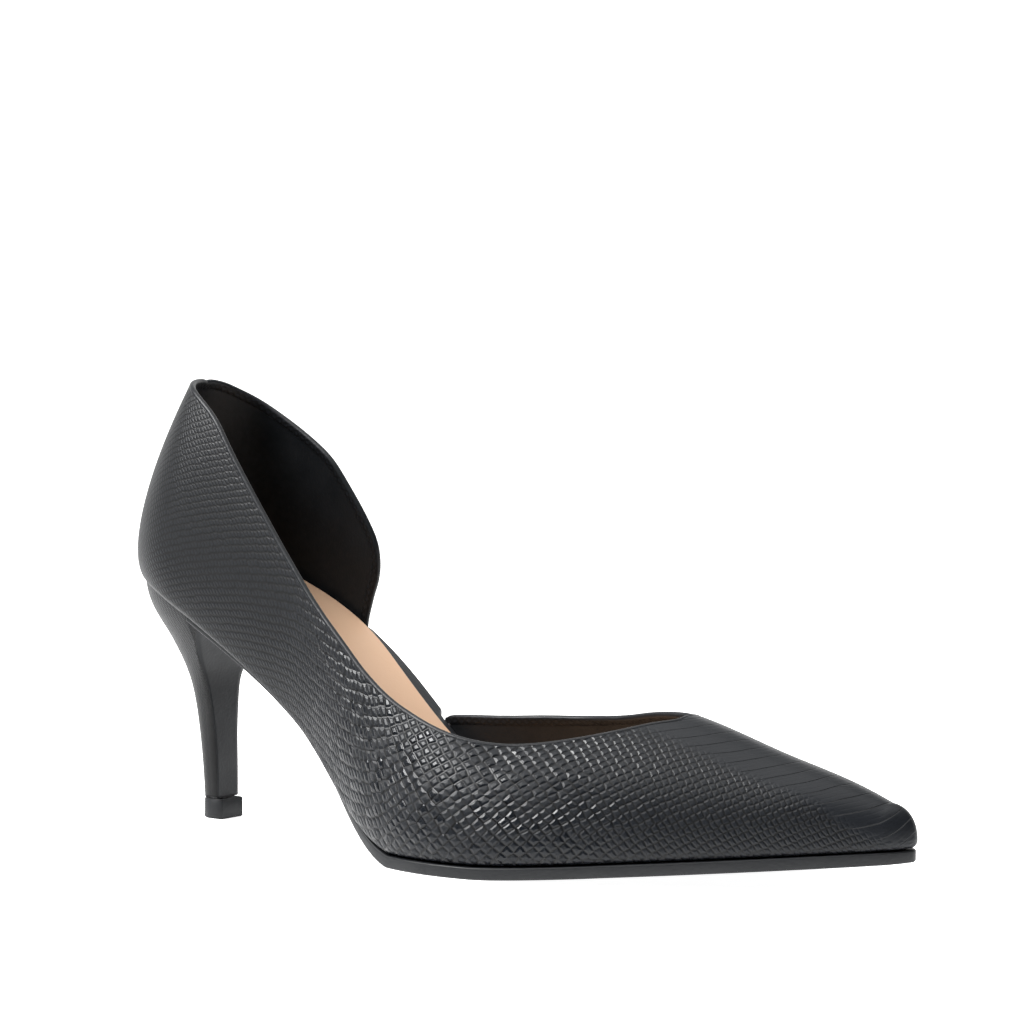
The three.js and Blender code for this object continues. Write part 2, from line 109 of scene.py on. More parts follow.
WALL = table(
    "at crown outer inner rise shoulder cheek close",
    (0.0, 1.2, 0.39, 0.39, 0.09, 0.215, 0.72, 1.0),
    (0.12, 1.197, 0.205, 0.205, 0.09, 0.13, 0.72, 0.5),
    (0.3, 1.161, 0.12, 0.1, 0.32, 0.08, 0.75, 0.55),
    (0.45, 1.122, 0.12, 0.08, 0.32, 0.2, 0.85, 0.65),
    (0.6, 1.01, 0.1, 0.08, 0.4, 0.4, 0.95, 0.9),
    (0.745, 0.866, 0.08, 0.08, 0.5, 0.64, 1.0, 1.0),
    (0.85, 0.609, 0.1, 0.1, 0.6, 0.625, 1.0, 1.0),
    (0.93, 0.411, 0.1, 0.1, 0.7, 0.53, 1.0, 1.0),
    (1.0, 0.191, 0.1, 0.1, 0.7, 0.5, 1.0, 1.0),
)
OUTER_TOPLINE = table(
    "at up",
    (0.04, 1.035),
    (0.068, 1.05),
    (0.096, 1.047),
    (0.12, 1.037),
    (0.147, 1.01),
    (0.184, 0.915),
    (0.231, 0.802),
    (0.285, 0.696),
    (0.33, 0.672),
    (0.376, 0.713),
    (0.415, 0.742),
    (0.457, 0.765),
    (0.499, 0.753),
    (0.548, 0.727),
    (0.592, 0.741),
    (0.63, 0.756),
    (0.667, 0.784),
    (0.699, 0.82),
    (0.723, 0.85),
    (THROAT, 0.861),
)
INNER_COUNTER = table(
    "at up",
    (0.04, 1.035),
    (0.068, 1.05),
    (0.083, 1.025),
    (0.113, 0.998),
    (0.144, 0.986),
    (0.174, 0.976),
    (0.202, 0.954),
    (0.227, 0.876),
    (0.25, 0.79),
    (0.264, 0.706),
    (0.265, 0.598),
    (0.26, 0.499),
    (0.251, 0.394),
    (GAP_BACK, 0.25),
)
INNER_VAMP = table(
    "at up",
    (GAP_FRONT, 0.243),
    (0.405, 0.405),
    (0.448, 0.564),
    (0.503, 0.685),
    (0.558, 0.759),
    (0.622, 0.84),
    (0.66, 0.868),
    (0.692, 0.879),
    (0.72, 0.876),
    (THROAT, 0.861),
)
RIM = table(
    "at sock_outer sock_inner sole_outer sole_inner",
    (0.0, 0.2, 0.2, 0.7, 0.7),
    (0.15, 0.2, 0.2, 0.7, 0.7),
    (0.24, 0.2, 0.225, 0.85, 0.85),
    (0.28, 0.2, 0.45, 0.85, 0.9),
    (0.32, 0.2, 0.85, 0.85, 1.0),
    (0.4, 0.2, 0.95, 0.43, 1.0),
    (0.5, 0.2, 0.625, -0.09, 0.43),
    (0.62, 0.2, 0.25, -0.14, -0.09),
    (0.85, 0.2, 0.2, -0.11, -0.11),
    (1.0, 0.2, 0.2, 0.09, 0.09),
)
HEEL = table(
    "at back front half",
    (0.0, 0.195, 0.125, 0.059),
    (0.17, 0.24, 0.11, 0.061),
    (0.31, 0.29, 0.085, 0.067),
    (0.43, 0.345, 0.06, 0.08),
    (0.53, 0.415, 0.04, 0.1),
    (0.63, 0.515, 0.06, 0.147),
    (0.73, 0.65, 0.17, 0.206),
    (0.83, 0.83, 0.35, 0.256),
    (0.91, 0.935, 0.42, 0.28),
    (1.0, 0.985, 0.42, 0.292),
)
# Size of one scale of the leather, in millimetres along the shoe.
SCALES = table("at size", (0.0, 1.5), (0.2, 1.6), (0.35, 2.0), (0.5, 2.5), (0.7, 2.2), (0.85, 1.8), (1.0, 1.6))


def column(rows, name):
    """A natural cubic spline through one column over the column named at."""
    x, y = rows["at"], rows[name]
    gap = np.diff(x)
    last = len(x) - 1
    matrix = np.eye(last + 1)
    right = np.zeros(last + 1)
    for i in range(1, last):
        matrix[i, i - 1 : i + 2] = gap[i - 1], 2 * (gap[i - 1] + gap[i]), gap[i]
        right[i] = 6 * ((y[i + 1] - y[i]) / gap[i] - (y[i] - y[i - 1]) / gap[i - 1])
    bend = np.linalg.solve(matrix, right)

    def curve(at):
        i = np.clip(np.searchsorted(x, at, side="right") - 1, 0, last - 1)
        b = (at - x[i]) / gap[i]
        a = 1 - b
        cubic = (a**3 - a) * bend[i] + (b**3 - b) * bend[i + 1]
        return a * y[i] + b * y[i + 1] + cubic * gap[i] ** 2 / 6

    return curve


def columns(rows):
    return {name: column(rows, name) for name in rows if name != "at"}


feather = columns(FEATHER)
wall = columns(WALL)
rim = columns(RIM)
heel_shape = columns(HEEL)
scale_size = column(SCALES, "size")


def lerp(a, b, share):
    return a + (b - a) * share


def smoothstep(low, high, value):
    share = np.clip((value - low) / (high - low), 0, 1)
    return share * share * (3 - 2 * share)


def unit(vectors):
    return vectors / np.maximum(np.linalg.norm(vectors, axis=-1, keepdims=True), 1e-12)


def stack(x, y, z):
    return np.stack(np.broadcast_arrays(x, y, z), -1).astype(float)


# The last's surface. s runs round half of the outline: seat 0 to 1, side 1 to 2, toe 2 to 3.
def station(s):
    seat = HEAD_SHARE * (1 - np.cos(np.clip(s, 0, 1) * math.pi / 2))
    toe = 1 - TOE_SHARE * (1 - np.cos(np.clip(3 - s, 0, 1) * math.pi / 2))
    side = lerp(HEAD_SHARE, 1 - TOE_SHARE, s - 1)
    return np.where(s < 1, seat, np.where(s > 2, toe, side))


def station_at(at):
    if at < HEAD_SHARE:
        return math.acos(1 - at / HEAD_SHARE) * 2 / math.pi
    if at > 1 - TOE_SHARE:
        return 3 - math.acos(1 - (1 - at) / TOE_SHARE) * 2 / math.pi
    return 1 + (at - HEAD_SHARE) / (1 - TOE_SHARE - HEAD_SHARE)


def round_end(s):
    return np.sin(np.clip(s, 0, 1) * math.pi / 2) * np.sin(np.clip(3 - s, 0, 1) * math.pi / 2)


def place(at):
    return SHOE_LENGTH * at - BACK_OVERHANG


def share_of(x):
    return np.clip((x + BACK_OVERHANG) / SHOE_LENGTH, 0, 1)


def base_height(at):
    spring = np.clip((at - SPRING_START) / (1 - SPRING_START), 0, None) ** SPRING_POWER
    lift = np.clip(feather["lift"](at), 0, None)
    return TREAD_LINE + (SEAT_HEIGHT - TREAD_LINE) * lift + TOE_SPRING * spring


def bottom_height(x, y):
    at = share_of(x)
    middle = TOE_SWING * feather["swing"](at)
    outer = middle - BALL_WIDTH * feather["outer"](at)
    inner = middle + BALL_WIDTH * feather["inner"](at)
    across = np.clip((y - outer) / (inner - outer), 0, 1)
    return base_height(at) + ARCH_RISE * np.clip(feather["arch"](at), 0, None) * across


def steepness(x):
    at = share_of(x)
    step = 0.002
    return np.hypot(1, (base_height(at + step) - base_height(at - step)) / (2 * step * SHOE_LENGTH))


def feather_edge(s, side):
    at = station(s)
    width = np.where(np.asarray(side) < 0, feather["outer"](at), feather["inner"](at))
    x = place(at)
    y = TOE_SWING * feather["swing"](at) + side * BALL_WIDTH * width * round_end(s)
    return stack(x, y, bottom_height(x, y))


def inset_edge(s, side, inset, lift):
    """The feather edge moved square to itself, inwards, and lifted."""
    s = np.asarray(s, float)
    step = 0.002
    here = feather_edge(s, side)
    along = feather_edge(np.minimum(3, s + step), side) - feather_edge(np.maximum(0, s - step), side)
    square = unit(np.stack([side * along[..., 1], -side * along[..., 0]], -1))
    square = np.where((s <= 0)[..., None], [1.0, 0.0], square)
    square = np.where((s >= 3)[..., None], [-1.0, 0.0], square)
    x = here[..., 0] + square[..., 0] * inset
    y = here[..., 1] + square[..., 1] * inset
    return stack(x, y, bottom_height(x, y) + lift * steepness(x))


def wall_height(at):
    return lerp(COUNTER_HEIGHT, INSTEP_HEIGHT, np.clip((at - INSTEP_START) / (INSTEP_END - INSTEP_START), 0, 1))


def spine(s):
    at = station(np.clip(s, 1, 2))
    top = station(np.minimum(s, 2))
    height = base_height(top) + wall_height(top) * wall["crown"](top)
    return stack(place(at), TOE_SWING * feather["swing"](at), height)


def wall_point(s, v, side):
    """A point of the wall: v runs up a rib, one cubic from the feather edge towards the spine."""
    at = station(np.minimum(s, 2))
    foot = feather_edge(s, side)
    way = spine(s) - foot
    close = np.where(at < VAMP_START, np.minimum(1, wall["close"](at)), 1)
    belly = wall["outer"](at) if side < 0 else wall["inner"](at)

    def knot(across, rise):
        return foot + stack(across, across, rise) * way

    a = knot(0 * at, 0 * at)
    b = knot(-belly, wall["rise"](at))
    c = knot(wall["shoulder"](at), wall["cheek"](at))
    d = knot(close, 1 + 0 * at)
    v = np.asarray(v)[..., None]
    return (1 - v) ** 3 * a + 3 * (1 - v) ** 2 * v * b + 3 * (1 - v) * v**2 * c + v**3 * d


# The opening, seen from the side.
def topline_curve(rows):
    """A centripetal curve through the rows of a topline."""
    x = place(rows["at"])
    z = base_height(rows["at"]) + wall_height(rows["at"]) * rows["up"]
    points = np.stack([x, z], -1)
    points = np.vstack([2 * points[0] - points[1], points, 2 * points[-1] - points[-2]])
    made = []
    for p0, p1, p2, p3 in zip(points, points[1:], points[2:], points[3:]):
        t1 = math.sqrt(np.linalg.norm(p1 - p0))
        t2 = t1 + math.sqrt(np.linalg.norm(p2 - p1))
        t3 = t2 + math.sqrt(np.linalg.norm(p3 - p2))
        t = np.linspace(t1, t2, 8, endpoint=False)[:, None]
        a1 = lerp(p0, p1, t / t1)
        a2 = lerp(p1, p2, (t - t1) / (t2 - t1))
        a3 = lerp(p2, p3, (t - t2) / (t3 - t2))
        b1 = lerp(a1, a2, t / t2)
        b2 = lerp(a2, a3, (t - t1) / (t3 - t1))
        made.append(lerp(b1, b2, (t - t1) / (t2 - t1)))
    return np.vstack([*made, points[-2:-1]])


def gap_floor():
    at = np.linspace(GAP_BACK, GAP_FRONT, 13)
    s = np.array([station_at(a) for a in at])
    return np.stack([place(at), inset_edge(s, 1, 0, UPPER_WALL)[:, 2]], -1)


def opening(side):
    """The line that bounds the opening on one side."""
    if side < 0:
        return topline_curve(OUTER_TOPLINE)
    return np.vstack([topline_curve(INNER_COUNTER), gap_floor(), topline_curve(INNER_VAMP)])


def below_line(points, line):
    """How far each point lies below the line, seen from the side; less than nothing in the opening."""
    behind = -3 * BACK_OVERHANG - COUNTER_HEIGHT
    sky = SEAT_HEIGHT + 3 * COUNTER_HEIGHT
    bound = np.vstack([[behind, line[0, 1]], line, [line[-1, 0], sky]])
    ring = np.vstack([bound, [behind, sky]])
    p = points[:, [0, 2]]
    best = np.full(len(p), np.inf)
    for a, b in zip(bound, bound[1:]):
        way = b - a
        share = np.clip((p - a) @ way / (way @ way), 0, 1)
        best = np.minimum(best, np.linalg.norm(p - a - share[:, None] * way, axis=1))
    inside = np.zeros(len(p), bool)
    for a, b in zip(ring, np.roll(ring, -1, 0)):
        spans = (a[1] > p[:, 1]) != (b[1] > p[:, 1])
        height = np.where(b[1] == a[1], 1, b[1] - a[1])
        inside ^= spans & (p[:, 0] < a[0] + (b[0] - a[0]) * (p[:, 1] - a[1]) / height)
    return np.where(inside, -best, best)


# Meshes.
class Sheet:
    """Triangles with two sets of flat coordinates for the materials: cells and skin."""

    def __init__(self, points, triangles, cells, skin):
        self.points = points
        self.triangles = triangles
        self.cells = cells
        self.skin = skin


def grid_triangles(rows, cols, closed=False):
    index = np.arange(rows * cols).reshape(rows, cols)
    if closed:
        index = np.hstack([index, index[:, :1]])
    a, b, c, d = index[:-1, :-1], index[1:, :-1], index[1:, 1:], index[:-1, 1:]
    return np.concatenate([np.stack([a, b, c], -1).reshape(-1, 3), np.stack([a, c, d], -1).reshape(-1, 3)])


def clip(sheet, keep):
    """The part of a sheet where keep is positive; the cut follows keep's zero line."""
    inside = keep > 0
    count = inside[sheet.triangles].sum(1)
    whole = sheet.triangles[count == 3]
    cuts = {}
    extra = []
    made = []

    def cut(i, j):
        key = (min(i, j), max(i, j))
        if key not in cuts:
            cuts[key] = len(sheet.points) + len(extra)
            extra.append((*key, keep[key[0]] / (keep[key[0]] - keep[key[1]])))
        return cuts[key]

    for tri in sheet.triangles[(count == 1) | (count == 2)].tolist():
        flags = [bool(inside[i]) for i in tri]
        lone = flags.index(True) if sum(flags) == 1 else flags.index(False)
        a, b, c = tri[lone], tri[(lone + 1) % 3], tri[(lone + 2) % 3]
        if sum(flags) == 1:
            made.append((a, cut(a, b), cut(a, c)))
        else:
            made.append((cut(a, b), b, c))
            made.append((cut(a, b), c, cut(a, c)))
    low = np.array([e[0] for e in extra])
    high = np.array([e[1] for e in extra])
    share = np.array([e[2] for e in extra])[:, None]

    def grown(values):
        return np.vstack([values, lerp(values[low], values[high], share)])

    triangles = np.vstack([whole, np.array(made)])
    return Sheet(grown(sheet.points), triangles, grown(sheet.cells), grown(sheet.skin))


def weld(points, triangles):
    """Joined points, the triangles on them and, for the flat coordinates, the corners as they were."""
    keys = np.round(points + 0.00031, 3)
    _, first, joined = np.unique(keys, axis=0, return_index=True, return_inverse=True)
    joined = joined.reshape(-1)
    on = joined[triangles]
    good = (on[:, 0] != on[:, 1]) & (on[:, 1] != on[:, 2]) & (on[:, 2] != on[:, 0])
    return points[first], on[good], triangles[good]


def normals_of(points, triangles):
    a, b, c = (points[triangles[:, i]] for i in range(3))
    face = np.cross(b - a, c - a)
    total = np.zeros_like(points)
    for i in range(3):
        np.add.at(total, triangles[:, i], face)
    return unit(total)


def border_edges(triangles):
    """Directed edges that only one triangle has."""
    edges = np.vstack([triangles[:, [0, 1]], triangles[:, [1, 2]], triangles[:, [2, 0]]])
    keys = {tuple(e) for e in edges.tolist()}
    return [e for e in edges.tolist() if (e[1], e[0]) not in keys]


def add_mesh(name, points, faces, materials, slots=None, layers=None):
    """A smooth-shaded mesh object. layers maps a name to one flat coordinate for each corner."""
    mesh = bpy.data.meshes.new(name)
    mesh.from_pydata((points * MM).tolist(), [], faces.tolist())
    for material in materials:
        mesh.materials.append(material)
    if slots is not None:
        mesh.polygons.foreach_set("material_index", slots)
    mesh.shade_smooth()
    for layer, corners in (layers or {}).items():
        data = mesh.uv_layers.new(name=layer).data
        data.foreach_set("uv", np.ascontiguousarray(corners, np.float32).ravel())
    mesh.update()
    made = bpy.data.objects.new(name, mesh)
    bpy.context.scene.collection.objects.link(made)
    return made


def settle(piece, node):
    """The piece stands for its CAD node, which is hidden; the piece is attached to the root body."""
    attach(piece, "root")
    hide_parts(node)
    return piece


# Material nodes.
def new_material(name, color, **values):
    material = bpy.data.materials.new(name)
    material.use_nodes = True
    shader = material.node_tree.nodes["Principled BSDF"]
    shader.inputs["Base Color"].default_value = (*color, 1)
    for socket, value in values.items():
        shader.inputs[socket.replace("_", " ")].default_value = value
    return material, material.node_tree, shader


def add_node(tree, kind, inputs=None, **settings):
    made = tree.nodes.new("ShaderNode" + kind)
    for key, value in settings.items():
        setattr(made, key, value)
    for socket, value in (inputs or {}).items():
        if isinstance(value, bpy.types.NodeSocket):
            tree.links.new(value, made.inputs[socket])
        else:
            made.inputs[socket].default_value = value
    return made


def maths(tree, operation, *values):
    return add_node(tree, "Math", dict(enumerate(values)), operation=operation).outputs[0]


def ramp(tree, value, low, high, to_low=0.0, to_high=1.0, smooth=True):
    inputs = {"Value": value, "From Min": low, "From Max": high, "To Min": to_low, "To Max": to_high}
    kind = "SMOOTHSTEP" if smooth else "LINEAR"
    return add_node(tree, "MapRange", inputs, interpolation_type=kind).outputs["Result"]


def bumped(tree, shader, height, depth):
    """Relief of that height times depth, in millimetres."""
    inputs = {"Height": height, "Distance": depth * MM}
    bump = add_node(tree, "Bump", inputs)
    tree.links.new(bump.outputs["Normal"], shader.inputs["Normal"])
    tree.links.new(bump.outputs["Normal"], shader.inputs["Coat Normal"])
    return bump


def noise(tree, vector, scale, detail=2.0, rough=0.5):
    inputs = {"Vector": vector, "Scale": scale, "Detail": detail, "Roughness": rough}
    return add_node(tree, "TexNoise", inputs).outputs["Fac"]


def uv(tree, name):
    return add_node(tree, "UVMap", uv_map=name).outputs["UV"]


def object_place(tree):
    return add_node(tree, "TexCoord").outputs["Object"]


SCUTE_PITCH = 4.8  # between the wide scales' grooves over the vamp
SCUTE_REACH = 13.0  # the wide scales reach this far down from the ridge


def snake_leather(name, fade_low=None):
    """Black leather embossed with small diamond scales, and wide ones over the vamp's ridge; painted shade darkens
    its colour where the relief is low.
    """
    material, tree, shader = new_material(
        name, (0.006, 0.007, 0.009), Specular_IOR_Level=0.24, Coat_Weight=0.12, Coat_Roughness=0.2
    )
    cells = add_node(
        tree,
        "Mapping",
        {"Vector": uv(tree, "cells"), "Rotation": (0, 0, math.radians(45)), "Scale": (1, 1.12, 1)},
    ).outputs["Vector"]
    lattice = {"Vector": cells, "Scale": 1.0, "Randomness": 0.28}
    near = add_node(tree, "TexVoronoi", lattice, voronoi_dimensions="2D", feature="F1")
    edge = add_node(tree, "TexVoronoi", lattice, voronoi_dimensions="2D", feature="DISTANCE_TO_EDGE")
    away = add_node(
        tree, "VectorMath", {0: cells, 1: near.outputs["Position"]}, operation="SUBTRACT"
    ).outputs[0]
    lean = add_node(
        tree, "VectorMath", {0: near.outputs["Color"], 1: (0.5, 0.5, 0.5)}, operation="SUBTRACT"
    ).outputs[0]
    tilt = add_node(tree, "VectorMath", {0: away, 1: lean}, operation="DOT_PRODUCT").outputs["Value"]
    pillow = ramp(tree, edge.outputs["Distance"], 0.0, 0.34)
    skin = add_node(tree, "SeparateXYZ", {0: uv(tree, "skin")})
    ball = maths(
        tree, "MULTIPLY", ramp(tree, skin.outputs["X"], 0.26, 0.44), ramp(tree, skin.outputs["X"], 0.8, 0.62, 0.35)
    )
    relief = maths(tree, "ADD", 0.3, maths(tree, "MULTIPLY", ball, 0.7))
    cell_height = maths(tree, "ADD", pillow, maths(tree, "MULTIPLY", tilt, maths(tree, "MULTIPLY", ball, 1.0)))
    cell_height = maths(tree, "MULTIPLY", cell_height, relief)

    along = maths(tree, "MULTIPLY", skin.outputs["X"], SHOE_LENGTH)
    down = maths(tree, "ABSOLUTE", maths(tree, "MULTIPLY", skin.outputs["Y"], 100.0))
    sway = noise(tree, object_place(tree), 60.0)
    bow = maths(tree, "MULTIPLY", maths(tree, "POWER", down, 1.6), 0.034)
    phase = maths(tree, "ADD", maths(tree, "DIVIDE", along, SCUTE_PITCH), bow)
    phase = maths(tree, "ADD", phase, maths(tree, "MULTIPLY", sway, 0.5))
    groove = maths(tree, "PINGPONG", phase, 0.5)
    scute = ramp(tree, groove, 0.0, 0.045)
    fine = maths(tree, "PINGPONG", maths(tree, "MULTIPLY", phase, 3.0), 0.5)
    scute = maths(tree, "ADD", scute, maths(tree, "MULTIPLY", ramp(tree, fine, 0.0, 0.2), 0.14))
    scute = maths(tree, "MULTIPLY", scute, 0.55)
    reach = maths(tree, "ADD", down, maths(tree, "MULTIPLY", sway, 6.0))
    low_part = ramp(tree, reach, SCUTE_REACH, SCUTE_REACH + 6.0)
    back_part = ramp(tree, skin.outputs["X"], THROAT - 0.015, THROAT - 0.07)
    small = maths(tree, "MAXIMUM", low_part, back_part)
    height = add_node(
        tree, "Mix", {"Factor": small, "A": scute, "B": cell_height}, data_type="FLOAT"
    ).outputs["Result"]
    if fade_low is not None:
        position = add_node(tree, "SeparateXYZ", {0: object_place(tree)})
        height = maths(
            tree, "MULTIPLY", height, ramp(tree, position.outputs["Z"], fade_low[0] * MM, fade_low[1] * MM, 0.25)
        )
    grain = noise(tree, object_place(tree), 2600.0, 3.0)
    height = maths(tree, "ADD", height, maths(tree, "MULTIPLY", grain, 0.1))
    bumped(tree, shader, height, 0.22)

    random = add_node(tree, "SeparateColor", {0: near.outputs["Color"]}).outputs["Red"]
    shine = maths(tree, "SUBTRACT", 0.56, maths(tree, "MULTIPLY", random, maths(tree, "MULTIPLY", ball, 0.34)))
    plain = add_node(tree, "Mix", {"Factor": small, "A": 0.48, "B": shine}, data_type="FLOAT").outputs["Result"]
    tree.links.new(plain, shader.inputs["Roughness"])
    # Painted shade: the base colour follows the relief height. It is darker in the grooves between scales and, on the
    # heel, towards the bottom where the relief is faded.
    groove_painted_shade = add_node(
        tree,
        "Mix",
        {"Factor": ramp(tree, height, 0.05, 0.4), "A": (0.0012, 0.0014, 0.0018, 1), "B": (0.0058, 0.0072, 0.0098, 1)},
        data_type="RGBA",
    ).outputs["Result"]
    tree.links.new(groove_painted_shade, shader.inputs["Base Color"])
    return material


def smooth_leather(name, color, roughness, grain_scale, depth, **values):
    """Plain leather with a fine grain and slightly uneven gloss."""
    material, tree, shader = new_material(name, color, **values)
    where = object_place(tree)
    grain = add_node(tree, "TexVoronoi", {"Vector": where, "Scale": grain_scale}, feature="SMOOTH_F1")
    fine = maths(tree, "ADD", grain.outputs["Distance"], maths(tree, "MULTIPLY", noise(tree, where, 900.0), 0.6))
    bumped(tree, shader, fine, depth)
    patch = noise(tree, where, 90.0, 3.0)
    tree.links.new(ramp(tree, patch, 0.3, 0.7, roughness - 0.05, roughness + 0.06), shader.inputs["Roughness"])
    return material


snake = snake_leather("snake_leather")
strip_leather = snake_leather("strip_leather")
heel_skin = snake_leather("heel_leather", (20, 62))
lining_leather = smooth_leather(
    "lining_leather", (0.0035, 0.0045, 0.006), 0.5, 1400.0, 0.05, Specular_IOR_Level=0.35
)
edge_leather = smooth_leather("edge_leather", (0.006, 0.007, 0.009), 0.42, 1300.0, 0.04, Specular_IOR_Level=0.3)
# The board's top band is black leather. Its colour is set lighter than the other black leathers, as painted light on
# its up-facing top.
band_leather_painted_light = smooth_leather("band_leather_painted_light", (0.014, 0.016, 0.02), 0.45, 1300.0, 0.05)
sole_rubber = smooth_leather("sole_rubber", (0.008, 0.009, 0.0105), 0.5, 800.0, 0.05, Specular_IOR_Level=0.35)
tip_rubber = smooth_leather("tip_rubber", (0.009, 0.01, 0.0115), 0.6, 500.0, 0.06, Specular_IOR_Level=0.35)
sock_leather = smooth_leather("sock_leather", (0.8, 0.52, 0.335), 0.5, 1500.0, 0.04, Sheen_Weight=0.1)


# Upper.
CORNER = 2.0  # rounding of the feather edge
FOLD_TOP = 0.7  # the folded edge stands this far above the cut edge of the leather
SEAT_STEPS = 30
SIDE_STEPS = 200
TOE_STEPS = 16
WALL_STEPS = 60
MARGIN_STEPS = 6
CORNER_STEPS = 5
HALF_OUTLINE = np.concatenate(
    [
        np.linspace(0, 1, SEAT_STEPS, endpoint=False),
        np.linspace(1, 2, SIDE_STEPS, endpoint=False),
        np.linspace(2, 3, TOE_STEPS + 1),
    ]
)


def upper_sheet(side):
    """One side of the upper: the margin under the board, the rounded feather edge and the wall."""
    s = HALF_OUTLINE[:, None]
    reach = CORNER / np.linalg.norm(wall_point(s, np.full_like(s, 0.01), side) - feather_edge(s, side), axis=-1)
    start = 0.01 * reach
    v = lerp(start, 1, np.linspace(0, 1, WALL_STEPS + 1)[None, :])
    rising = wall_point(np.broadcast_to(s, v.shape), v, side)
    inset = np.linspace(LASTING_MARGIN, CORNER, MARGIN_STEPS, endpoint=False)[None, :]
    flat = inset_edge(np.broadcast_to(s, (len(s), MARGIN_STEPS)), side, inset, 0)
    turn = np.linspace(0, 1, CORNER_STEPS, endpoint=False)[None, :, None]
    low = inset_edge(s, side, CORNER, 0)
    corner = feather_edge(s, side)
    high = rising[:, :1]
    bend = (1 - turn) ** 2 * low + 2 * turn * (1 - turn) * corner + turn**2 * high
    points = np.concatenate([flat, bend, rising], axis=1)
    rows, cols = points.shape[:2]

    length = np.linalg.norm(np.diff(points, axis=1), axis=-1)
    from_top = np.concatenate([np.cumsum(length[:, ::-1], axis=1)[:, ::-1], np.zeros((rows, 1))], axis=1)
    edge = feather_edge(HALF_OUTLINE, side)
    at = station(HALF_OUTLINE)
    run = np.concatenate([[0], np.cumsum(np.linalg.norm(np.diff(edge[:, :2], axis=0), axis=1))])
    in_toe = HALF_OUTLINE > 2
    at_toe = np.argmax(in_toe) - 1
    size = scale_size(at)[:, None]
    cells_along = np.concatenate([[0], np.cumsum(np.diff(run) / scale_size(at)[1:])])
    cells_along = np.where(in_toe, cells_along[at_toe], cells_along)[:, None] + np.where(
        in_toe[:, None], (points[..., 0] - points[at_toe, -1, 0]) / size, 0
    )
    cells = np.stack([cells_along, -side * from_top / size], -1)
    skin = np.stack([share_of(points[..., 0]), -side * from_top / 100], -1)
    triangles = grid_triangles(rows, cols)
    if side > 0:
        triangles = triangles[:, ::-1]
    flat_points = points.reshape(-1, 3)
    sheet = Sheet(flat_points, triangles, cells.reshape(-1, 2), skin.reshape(-1, 2))
    return clip(sheet, below_line(flat_points, opening(side)) - FOLD_TOP)


def join(sheets):
    offset = np.cumsum([0] + [len(sheet.points) for sheet in sheets[:-1]])
    return Sheet(
        np.vstack([sheet.points for sheet in sheets]),
        np.vstack([sheet.triangles + first for sheet, first in zip(sheets, offset)]),
        np.vstack([sheet.cells for sheet in sheets]),
        np.vstack([sheet.skin for sheet in sheets]),
    )


def make_upper():
    both = join([upper_sheet(-1), upper_sheet(1)])
    points, triangles, corners = weld(both.points, both.triangles)
    normals = normals_of(points, triangles)
    inner = points - normals * UPPER_WALL
    border = np.array(border_edges(triangles))
    count = len(points)
    rim_faces = np.concatenate(
        [
            np.stack([border[:, 1], border[:, 0], border[:, 0] + count], -1),
            np.stack([border[:, 1], border[:, 0] + count, border[:, 1] + count], -1),
        ]
    )
    faces = np.vstack([triangles, triangles[:, ::-1] + count, rim_faces])
    slots = np.concatenate(
        [np.zeros(len(triangles), int), np.ones(len(triangles), int), np.full(len(rim_faces), 2)]
    )
    layers = {}
    for name, values in (("cells", both.cells), ("skin", both.skin)):
        outside = values[corners]
        inside = values[corners[:, ::-1]]
        layers[name] = np.vstack([outside.reshape(-1, 2), inside.reshape(-1, 2), np.zeros((3 * len(rim_faces), 2))])
    piece = add_mesh("upper_leather", np.vstack([points, inner]), faces, [snake, lining_leather, edge_leather], slots, layers)
    settle(piece, "upper")
    return points, normals, border


# Folded edge round the opening.
FOLD_OUTSIDE = 0.6  # below the cut edge, outside and inside
FOLD_INSIDE = 2.2
FOLD_PROUD = 0.12
FOLD_TURNS = 10
PATH_STEP = 1.0


def longest_loop(border):
    """The points of the border's highest loop, in its edges' direction."""
    follow = dict(border.tolist())
    loops = []
    while follow:
        chain = [next(iter(follow))]
        while chain[-1] in follow:
            chain.append(follow.pop(chain[-1]))
        loops.append(chain[:-1])
    return max(loops, key=len)


def near_path(points, path):
    """How far points lie from a path, seen from the side."""
    p = points[:, [0, 2]]
    best = np.full(len(p), np.inf)
    for a, b in zip(path, path[1:]):
        way = b - a
        share = np.clip((p - a) @ way / (way @ way), 0, 1)
        best = np.minimum(best, np.linalg.norm(p - a - share[:, None] * way, axis=1))
    return best


def softened(values, rounds):
    """Values along an open path, each round nearer to their neighbours' mean."""
    for _ in range(rounds):
        middle = (values[:-2] + 2 * values[1:-1] + values[2:]) / 4
        values = np.vstack([values[:1], middle, values[-1:]])
    return values


def opening_path(points, normals, border):
    """The upper's cut edge from the back of the cut-away side round the opening to its front."""
    loop = np.array(longest_loop(border))
    floor = (near_path(points[loop], gap_floor()) < FOLD_TOP + 0.2) & (points[loop, 1] > 0)
    first = np.flatnonzero(floor & ~np.roll(floor, -1))[0]
    loop = np.roll(loop, -first)
    loop = loop[: np.flatnonzero(floor[(np.arange(len(loop)) + first) % len(loop)])[1]]
    line, square = points[loop], normals[loop]
    run = np.concatenate([[0], np.cumsum(np.linalg.norm(np.diff(line, axis=0), axis=1))])
    at = np.linspace(0, run[-1], int(run[-1] / PATH_STEP) + 1)
    line = np.stack([np.interp(at, run, line[:, i]) for i in range(3)], -1)
    square = np.stack([np.interp(at, run, square[:, i]) for i in range(3)], -1)
    return softened(line, 4), unit(softened(square, 8)), at


